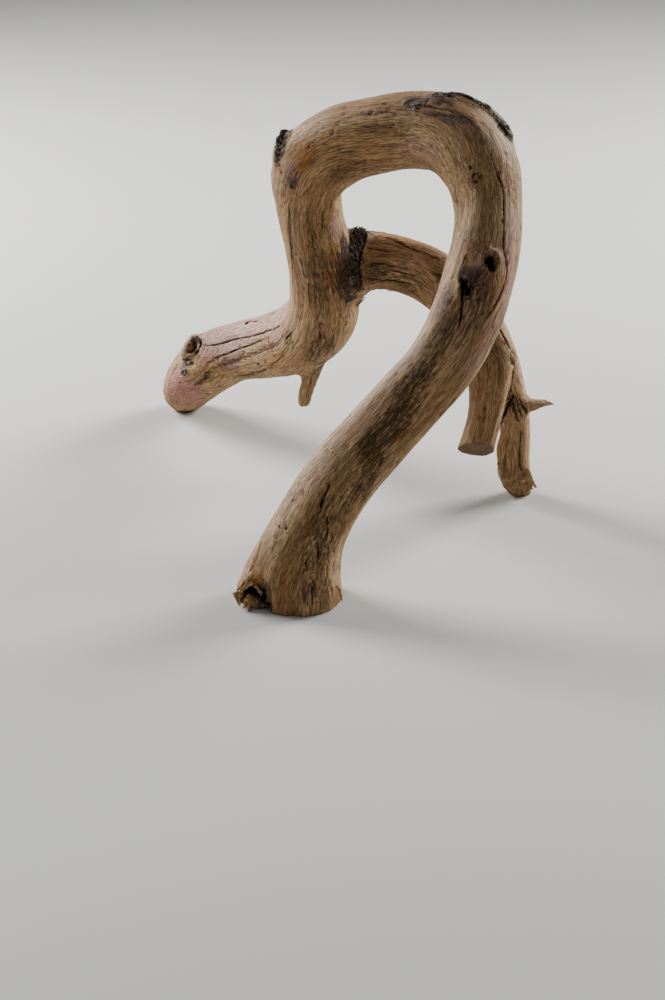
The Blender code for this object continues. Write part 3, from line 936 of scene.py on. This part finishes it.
def carve_knots(skin, knots):
    """Ring knots, holes and the way the grain parts round them, with painted shade in the rings' grooves and
    in the holes.
    """
    for place, radius, depth, stretch, kind in knots:
        at = skin.closest(place)
        along, outward = skin.along[at], skin.outward[at]
        sideways = unit(np.cross(outward, along))
        away = skin.places - place
        ahead, beside = away @ along / stretch, away @ sideways
        squares = np.maximum(np.sum(away * away, axis=1) - (away @ along) ** 2, 0) + ahead**2
        far = np.sqrt(squares) / radius
        if kind == "ring":
            groove = hump(far, 1.0, 0.28)
            skin.height += depth * (0.45 * (1.0 - smoothstep(0.1, 0.9, far)) - groove)
            skin.height += 0.35 * depth * hump(far, 1.55, 0.35)
            # Painted shade in the ring's groove.
            skin.stain("crack", 0.9 * groove)
            inside = 1.0 - smoothstep(0.8, 1.1, far)
            skin.stain("dark", 0.4 * inside)
            skin.stain("orange", 0.6 * inside)
        else:
            inside = 1.0 - smoothstep(0.45, 1.1, far)
            skin.height -= depth * inside
            skin.height += 0.22 * depth * hump(far, 1.45, 0.35)
            # Painted shade: holes are black inside, dents partly.
            black = inside if kind == "hole" else 0.35 * inside
            skin.stain("crack", black)
            skin.stain("dark", 0.6 * (1.0 - smoothstep(0.9, 1.9, far)))
        parting = -0.75 * beside * hump(far, 0.0, 2.2)
        skin.grain[:, 0] += parting * 0.8
        skin.grain[:, 1] += parting * 0.6


def paint_spots(skin, finder):
    """The stains, tints and bark patches, broken up so that none has a plain edge."""
    ragged = 0.55 * skin.noise(across=5.0, along=22.0, seed=6, detail=3)
    ragged += 0.35 * skin.lumps(size=3.5, seed=7)
    spots = {"dark": DARK, "orange": ORANGE, "violet": VIOLET, "pale": PALE, "bark": BARK}
    for name, table in spots.items():
        for u, v, reach, stretch, amount in table:
            place = finder.seen(u, v)
            if place is None:
                continue
            core = skin.spot(place, skin.along[skin.closest(place)], reach * SPOT_SPREAD, stretch)
            patch = amount * smoothstep(0.0, 0.9, core + 0.35 * ragged * (core > 0))
            skin.stain(name, patch)


def weather_far_side(skin):
    """Stains on the sides that the camera doesn't see, as broad and as broken as those that it sees."""
    forwards = unit(np.array(CAMERA_PLACE) / MM - skin.places)
    away = smoothstep(0.2, -0.2, np.sum(skin.outward * forwards, axis=1))
    for name, across, along, seed, least, amount in FAR_SIDE:
        patch = smoothstep(least, least + 0.35, skin.noise(across, along, seed, 3))
        skin.stain(name, amount * away * patch)


def carve_bark(skin, shape):
    """The broken crust of old bark where it still clings to the wood, with painted shade in its furrows."""
    crust = skin.noise(across=2.6, along=7.0, seed=8, detail=3)
    plates = np.abs(skin.noise(across=4.0, along=13.0, seed=9)) - 0.18
    grit = skin.lumps(size=1.6, seed=10, detail=2)
    rough = 0.8 * crust + 1.6 * np.clip(plates, -0.2, 0.25) + 0.4 * grit
    skin.height += shape.bark / MM * skin.tint["bark"] * (rough + 0.12)
    furrow = smoothstep(0.1, 0.6, -rough) * skin.tint["bark"]
    # Painted shade: the crack colour darkens the furrows between the bark's plates.
    skin.stain("crack", 0.5 * furrow)


def swell(skin, finder):
    """Broad swellings round the knots and under the old bark."""
    for u, v, reach, stretch, height in SWELLINGS:
        place = finder.seen(u, v)
        if place is None:
            continue
        along = skin.along[skin.closest(place)]
        skin.height += height * smoothstep(0.0, 1.0, skin.spot(place, along, reach, stretch))


def carve_side_root(skin, finder):
    """The torn side root of the front foot: a ragged shell over a hollow painted dark as shade, with a
    broken chunk.
    """
    torn = smoothstep(0.2, 0.6, skin.share_of("side_root"))
    ridges = skin.noise(across=2.0, along=22.0, seed=11, detail=2)
    skin.height += 0.9 * torn * ridges
    for point, reach, height, roughness in TORN_LUMPS:
        lump = smoothstep(0.0, 0.8, skin.spot(finder.seen(*point), np.array((0.0, 0.0, 1.0)), reach, 1.2))
        skin.height += lump * (height + roughness * skin.lumps(size=2.4, seed=13, detail=2))
        torn = np.maximum(torn, lump)
    skin.stain("raw", torn * smoothstep(-0.25, 0.35, ridges))
    skin.stain("orange", 0.5 * torn)
    wander = skin.lumps(size=3.0, seed=14, detail=2)
    for width, depth, points in TORN_HOLLOWS:
        away, _ = skin.distance(finder.seen_path(points), HOLLOW_REACH)
        deep = 1.0 - smoothstep(0.3, 1.0, away / (width * (1.0 + 0.8 * wander)))
        skin.recess = np.maximum(skin.recess, depth * deep)
        # Painted shade: the hollows under the torn root are coloured near black.
        skin.stain("crack", smoothstep(0.2, 1.0, deep))


def dress_strands(skin, first_strand, first_flake):
    """Keeps the strands and flakes as they were laid, and tints them as torn wood and as bark."""
    skin.height[first_strand:] = 0.0
    skin.recess[first_strand:] = 0.0
    for name in skin.TINTS:
        skin.tint[name][first_strand:] = 0.0
    skin.tint["raw"][first_strand:first_flake] = 0.9
    skin.tint["bark"][first_flake:] = 1.0


def carve_sawn_end(skin):
    """Growth rings on the dry cut of the sawn stump, in place of what else was carved there."""
    facing = unit(np.array(SAWN_FACING))
    away = skin.places - np.array(SAWN_PLACE, dtype=float)
    on_cut = (np.abs(away @ facing + SAWN_BACK) < 0.05) & (np.linalg.norm(away, axis=1) < SAWN_REACH)
    middle = skin.places[on_cut].mean(axis=0)
    far = np.linalg.norm(skin.places - middle, axis=1)
    rings = SAWN_RELIEF * np.sin(far * SAWN_RING_PACE + 2.0 * skin.lumps(size=9.0, seed=12))
    skin.height = np.where(on_cut, rings, skin.height)
    skin.tint["end"] = on_cut * 1.0
    for name in ("dark", "bark", "crack"):
        skin.tint[name] = np.where(on_cut, 0.15 * skin.tint[name], skin.tint[name])


def bleach_and_light_tops(skin):
    """Pale tint on what faces up, most of all on the left limb, leaving the undersides brown: partly sun
    bleaching and partly painted light falling on the tops.
    """
    up = smoothstep(0.25, 0.95, skin.outward[:, 2])
    behind = smoothstep(*BLEACHED_AND_LIT_FROM, skin.places[:, 1])
    skin.stain("pale", up * (0.3 + 0.6 * behind))


def settle(skin):
    """Moves the vertices by their heights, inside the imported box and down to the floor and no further."""
    low, high = (np.array(corner) / MM for corner in CAD_BOX)
    standing = smoothstep(0.0, FLOOR_FADE, skin.places[:, 2] - low[2])
    places = skin.places + skin.outward * (skin.height * standing - skin.recess)[:, None]
    places = np.clip(places, low, high)
    skin.mesh.vertices.foreach_set("co", (places * MM).ravel())


def keep_tints(skin):
    """Writes the grain's directions and the tints to the mesh for the material."""
    count = len(skin.places)
    grain = skin.mesh.attributes.new("grain", "FLOAT_VECTOR", "POINT")
    grain.data.foreach_set("vector", skin.grain.ravel())
    # The first attribute holds dark, orange, pale and violet, with painted shade in the dark and painted
    # light in the pale; the second holds bark, crack, raw and end, with painted shade in the crack and in
    # some bark.
    for name, parts in (("weather_light_and_shade", Skin.TINTS[:4]), ("wear_and_shade", Skin.TINTS[4:])):
        values = np.column_stack([np.clip(skin.tint[part], 0.0, 1.0) for part in parts])
        attribute = skin.mesh.attributes.new(name, "FLOAT_COLOR", "POINT")
        attribute.data.foreach_set("color", values.reshape(count * 4))


class Value:
    """A number carried by a shader node's socket. Python's operators on it add Math nodes."""

    def __init__(self, graph, socket):
        self.graph = graph
        self.socket = socket

    def maths(self, operation, first, second=0.0):
        """A Math node on one or two numbers."""
        return self.graph.output("ShaderNodeMath", {"operation": operation}, {0: first, 1: second})

    def __add__(self, other):
        return self.maths("ADD", self, other)

    def __radd__(self, other):
        return self.maths("ADD", other, self)

    def __sub__(self, other):
        return self.maths("SUBTRACT", self, other)

    def __rsub__(self, other):
        return self.maths("SUBTRACT", other, self)

    def __mul__(self, other):
        return self.maths("MULTIPLY", self, other)

    def __rmul__(self, other):
        return self.maths("MULTIPLY", other, self)

    def __abs__(self):
        return self.maths("ABSOLUTE", self)

    def __or__(self, other):
        """The larger of the two."""
        return self.maths("MAXIMUM", self, other)

    def step(self, low, high):
        """0 below low, 1 above high and a soft change between."""
        sockets = {"Value": self, "From Min": low, "From Max": high}
        return self.graph.output("ShaderNodeMapRange", {"interpolation_type": "SMOOTHSTEP"}, sockets)


class Graph:
    """A material's nodes, with one method that adds any of them."""

    def __init__(self, material):
        material.use_nodes = True
        self.tree = material.node_tree
        self.tree.nodes.clear()

    def node(self, kind, settings=None, sockets=None):
        """Adds a node, sets it up, then gives its sockets their values or links."""
        node = self.tree.nodes.new(kind)
        for name, value in (settings or {}).items():
            setattr(node, name, value)
        for key, value in (sockets or {}).items():
            if isinstance(value, Value):
                self.tree.links.new(value.socket, node.inputs[key])
            else:
                node.inputs[key].default_value = value
        return node

    def output(self, kind, settings=None, sockets=None, output=0):
        """Adds a node and returns one of its outputs."""
        return Value(self, self.node(kind, settings, sockets).outputs[output])

    def blend(self, share, first, second, how="MIX"):
        """Two colours mixed by a share."""
        first, second = ((*end, 1.0) if isinstance(end, tuple) else end for end in (first, second))
        settings = {"data_type": "RGBA", "blend_type": how}
        return self.output("ShaderNodeMix", settings, {0: share, 6: first, 7: second}, 2)

    def scaled(self, vector, scale):
        """A vector with each part times its own factor."""
        return self.output("ShaderNodeVectorMath", {"operation": "MULTIPLY"}, {0: vector, 1: scale})

    def texture(self, vector, size, detail=2.0, roughness=0.5, distortion=0.0):
        """Noise from 0 to 1 with lumps of about that size, in the vector's own unit."""
        sockets = {
            "Vector": vector,
            "Scale": 1.0 / size,
            "Detail": detail,
            "Roughness": roughness,
            "Distortion": distortion,
        }
        return self.output("ShaderNodeTexNoise", {}, sockets)

    def attribute(self, name, output):
        """One output of a mesh attribute: 0 its colour, 1 its vector, 3 its alpha."""
        return self.output("ShaderNodeAttribute", {"attribute_name": name}, {}, output)

    def parts(self, name):
        """A colour attribute's four numbers."""
        colour = self.attribute(name, 0)
        split = self.node("ShaderNodeSeparateColor", {}, {0: colour})
        return [Value(self, split.outputs[i]) for i in range(3)] + [self.attribute(name, 3)]

    def surface(self, **sockets):
        """Ends the graph in a Principled BSDF."""
        names = {name.replace("_", " "): value for name, value in sockets.items()}
        shader = self.node("ShaderNodeBsdfPrincipled", {}, names)
        self.node("ShaderNodeOutputMaterial", {}, {0: Value(self, shader.outputs[0])})


def wood_material(colours):
    """Weathered root wood: streaks and fibres along the grain, stains, bark, cracks and a sawn end."""
    material = bpy.data.materials.new("weathered_root_wood")
    graph = Graph(material)
    grain = graph.attribute("grain", 1)
    dark, orange, pale, violet = graph.parts("weather_light_and_shade")
    bark, crack, raw, end = graph.parts("wear_and_shade")

    def drawn(squeeze, size, detail, roughness, distortion=0.0):
        """Noise drawn out along the grain: the smaller the squeeze, the longer."""
        return graph.texture(graph.scaled(grain, (1.0, 1.0, squeeze)), size, detail, roughness, distortion)

    broad = drawn(0.12, 14.0, 3.0, 0.5)
    streaks = drawn(0.06, 2.6, 3.0, 0.6)
    flutes = drawn(0.08, 3.2, 2.0, 0.5, 0.5)
    fibres = drawn(0.08, 0.6, 3.0, 0.6)
    dashes = drawn(0.17, 0.85, 2.0, 0.5)
    threads = drawn(0.035, 2.2, 1.0, 0.5)
    mottle = drawn(0.4, 1.8, 3.0, 0.75)
    grit = drawn(0.5, 1.5, 3.0, 0.6)

    light = (0.7 * broad + 0.5 * streaks).step(0.45, 0.75)
    colour = graph.blend(light, tuple(colours.wood), tuple(colours.straw))
    colour = graph.blend((1.0 - streaks.step(0.3, 0.5)) * 0.3, colour, tuple(colours.umber))
    # The pale tint: bleached wood, partly painted light on upward faces and lit rims.
    bleached = (pale + 0.7 * (streaks - 0.5)).step(0.1, 1.0)
    colour = graph.blend(bleached, colour, tuple(colours.pale))
    tanned = (orange + 0.8 * (mottle - 0.5)).step(0.12, 1.0)
    colour = graph.blend(tanned * 0.8, colour, tuple(colours.orange))
    bruised = (violet + 0.8 * (mottle - 0.5)).step(0.12, 1.0)
    colour = graph.blend(bruised * 0.8, colour, tuple(colours.violet))
    rosy = (orange * violet).step(0.04, 0.35)
    colour = graph.blend(rosy * 0.75, colour, tuple(colours.rose))

    # The dark tint is stains of damp, with painted shade where dark spots fill shadowed places.
    dark_stain_and_shade = dark.step(0.0, 0.6)
    damp = (dark + 2.0 * (mottle - 0.5) + 1.4 * (dashes - 0.5)).step(0.3, 0.95)
    flecks = dashes.step(0.57, 0.7) * (0.28 + 0.72 * dark_stain_and_shade) * (1.0 - 0.6 * bleached)
    # Painted shade: the flute furrows and the fine cracks (hairlines) are darkened along the grooves that
    # the bump cuts.
    furrows = (1.0 - abs(flutes - 0.5).step(0.0, 0.05)) * (0.2 + 0.8 * dark_stain_and_shade)
    hairlines = (1.0 - abs(threads - 0.5).step(0.0, 0.03)) * broad.step(0.4, 0.55)
    marks = (damp * 0.72) | (flecks * 0.75) | (furrows * 0.7) | (hairlines * 0.6)
    colour = graph.blend(marks, colour, tuple(colours.stain))
    # Painted shade and light on the fibres: the colour darkens and lightens with the same fibres noise that
    # raises the bump.
    colour = graph.blend(1.0, colour, 0.52 + 0.86 * fibres.step(0.3, 0.68), "MULTIPLY")

    # The bark's crust: painted shade in the crack colour in its low places and a painted highlight on its
    # raised ridges, both following the grit noise that also raises its bump.
    ridge = (grit + 0.5 * (fibres - 0.5)).step(0.34, 0.7)
    crust = graph.blend(ridge, tuple(colours.crack), tuple(colours.bark))
    crust = graph.blend(ridge.step(0.5, 0.95) * 0.85, crust, BARK_RIDGE_HIGHLIGHT)
    colour = graph.blend((bark + 0.9 * (mottle - 0.5)).step(0.25, 0.7), colour, crust)

    splinters = graph.blend(fibres.step(0.38, 0.66), SPLINTER_DARK, SPLINTER_LIGHT)
    colour = graph.blend(raw * 0.8, colour, splinters)
    cut = graph.blend(grit.step(0.3, 0.7), CUT_DARK, CUT_LIGHT)
    colour = graph.blend(end, colour, cut)
    # Painted shade: the crack colour fills the carved cracks, holes, grooves and hollows.
    colour = graph.blend(crack.step(0.15, 0.9), colour, tuple(colours.crack))

    relief = 0.45 * fibres + 0.5 * flutes - 0.35 * furrows - 0.25 * hairlines - 0.2 * flecks
    relief = relief + 0.8 * bark * grit
    bump = graph.output("ShaderNodeBump", {}, {"Height": relief, "Distance": MM, "Strength": 1.0})
    roughness = 0.5 + 0.2 * fibres + 0.2 * (bark | damp) - 0.06 * bleached
    graph.surface(Base_Color=colour, Roughness=roughness, Normal=bump, Specular_IOR_Level=0.3)
    return material


def plain_material(name, colour, roughness):
    """One even colour."""
    material = bpy.data.materials.new(name)
    Graph(material).surface(Base_Color=(*colour, 1.0), Roughness=roughness)
    return material


def made_object(name, mesh, material):
    """A finished object at the origin with one material, shaded smooth."""
    mesh.materials.clear()
    mesh.materials.append(material)
    mesh.shade_smooth()
    piece = bpy.data.objects.new(name, mesh)
    bpy.context.collection.objects.link(piece)
    return piece


class DRYROOT_OT_wood(Operator):
    """Make the root's carved and weathered skin"""

    bl_idname = "dry_root.wood"
    bl_label = "Wood"

    def execute(self, context):
        shape = context.scene.dry_root_shape
        bm = even_copy(shape.face)
        saw_end(bm)
        finder = Finder(bm)
        limbs = grown_limbs()
        paths, knots = mark_paths(finder, limbs), mark_knots(finder, limbs)
        cracks = [place for kind, *_, path in paths if kind == "crack" for place in path]
        rough = list(found_ones(finder.seen(u, v) for u, v, *_ in BARK))
        torn = [place for _, _, points in TORN_HOLLOWS for place in finder.seen_path(points)]
        refine(bm, cracks + [place for place, *_ in knots], FINE_REACH)
        refine(bm, rough + torn, FINE_REACH * 2)
        refine(bm, cracks, FINEST_REACH)
        first_strand = len(bm.verts)
        chance = random.Random(STRAND_SEED)
        bm.from_mesh(strands_mesh(finder, STRANDS, chance))
        first_flake = len(bm.verts)
        bm.from_mesh(strands_mesh(finder, FLAKES, chance))
        bmesh.ops.triangulate(bm, faces=[f for f in bm.faces if len(f.verts) > 4])
        mesh = mesh_of(bm, "root_wood")

        skin = Skin(mesh)
        paint_spots(skin, finder)
        weather_far_side(skin)
        swell(skin, finder)
        carve_flutes(skin, shape)
        carve_cracks(skin, paths, shape)
        carve_knots(skin, knots)
        carve_bark(skin, shape)
        carve_side_root(skin, finder)
        bleach_and_light_tops(skin)
        carve_sawn_end(skin)
        dress_strands(skin, first_strand, first_flake)
        settle(skin)
        keep_tints(skin)
        mesh.update()

        wood = made_object("root_wood", mesh, wood_material(context.scene.dry_root_colours))
        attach(wood, BODY)
        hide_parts(NODE)
        return {"FINISHED"}


class DRYROOT_OT_studio(Operator):
    """Make the pale floor, the soft lights and the camera"""

    bl_idname = "dry_root.studio"
    bl_label = "Studio"

    def execute(self, context):
        settings = context.scene.dry_root_studio
        bm = bmesh.new()
        bmesh.ops.create_grid(bm, x_segments=4, y_segments=4, size=FLOOR_SIZE / 2)
        pale = plain_material("pale_floor", settings.floor, FLOOR_ROUGHNESS)
        floor = made_object("floor", mesh_of(bm, "floor"), pale)

        for name, setting, share, size, place in LIGHTS:
            self.area_light(name, getattr(settings, setting) * share, size, place)
        self.surround(context, settings.surround)
        self.camera(context)
        return {"FINISHED"}

    @staticmethod
    def area_light(name, power, size, place):
        """A square soft light that faces the root's middle."""
        light = bpy.data.lights.new(name, "AREA")
        light.energy = power
        light.size = size
        lamp = bpy.data.objects.new(name, light)
        lamp.location = place
        middle = (Vector(CAD_BOX[0]) + Vector(CAD_BOX[1])) / 2
        lamp.rotation_euler = (middle - lamp.location).to_track_quat("-Z", "Y").to_euler()
        bpy.context.collection.objects.link(lamp)

    @staticmethod
    def surround(context, strength):
        """Even, slightly cool light from all round."""
        world = bpy.data.worlds.new("studio")
        world.use_nodes = True
        background = world.node_tree.nodes["Background"]
        background.inputs["Color"].default_value = SURROUND_COLOUR
        background.inputs["Strength"].default_value = strength
        context.scene.world = world

    @staticmethod
    def camera(context):
        """The camera at the picture's place and angle."""
        lens = bpy.data.cameras.new("camera")
        lens.sensor_width = SENSOR_MM
        lens.lens = FOCAL_PIXELS / PICTURE_HEIGHT * SENSOR_MM
        lens.clip_start, lens.clip_end = CLIP_START, CLIP_END
        camera = bpy.data.objects.new("camera", lens)
        camera.location = CAMERA_PLACE
        camera.rotation_euler = camera_turn().to_euler()
        context.collection.objects.link(camera)
        context.scene.camera = camera
        context.scene.view_settings.look = "AgX - Medium High Contrast"


class DRYROOT_PT_panel(Panel):
    """Lists the root's settings and steps"""

    bl_idname = "DRYROOT_PT_panel"
    bl_label = "Dry Root"
    bl_space_type = "VIEW_3D"
    bl_region_type = "UI"
    bl_category = "Dry Root"

    def draw(self, context):
        scene = context.scene
        for settings in (scene.dry_root_shape, scene.dry_root_colours, scene.dry_root_studio):
            box = self.layout.box()
            for name in type(settings).__annotations__:
                box.prop(settings, name)
        for operator in (DRYROOT_OT_studio, DRYROOT_OT_wood):
            self.layout.operator(operator.bl_idname)


CLASSES = (RootShape, RootColours, StudioSettings, DRYROOT_OT_studio, DRYROOT_OT_wood, DRYROOT_PT_panel)


def register():
    for cls in CLASSES:
        bpy.utils.register_class(cls)
    bpy.types.Scene.dry_root_shape = PointerProperty(type=RootShape)
    bpy.types.Scene.dry_root_colours = PointerProperty(type=RootColours)
    bpy.types.Scene.dry_root_studio = PointerProperty(type=StudioSettings)


def unregister():
    del bpy.types.Scene.dry_root_studio
    del bpy.types.Scene.dry_root_colours
    del bpy.types.Scene.dry_root_shape
    for cls in reversed(CLASSES):
        bpy.utils.unregister_class(cls)


def main():
    register()
    bpy.ops.dry_root.studio()
    bpy.ops.dry_root.wood()


if __name__ == "__main__":
    main()
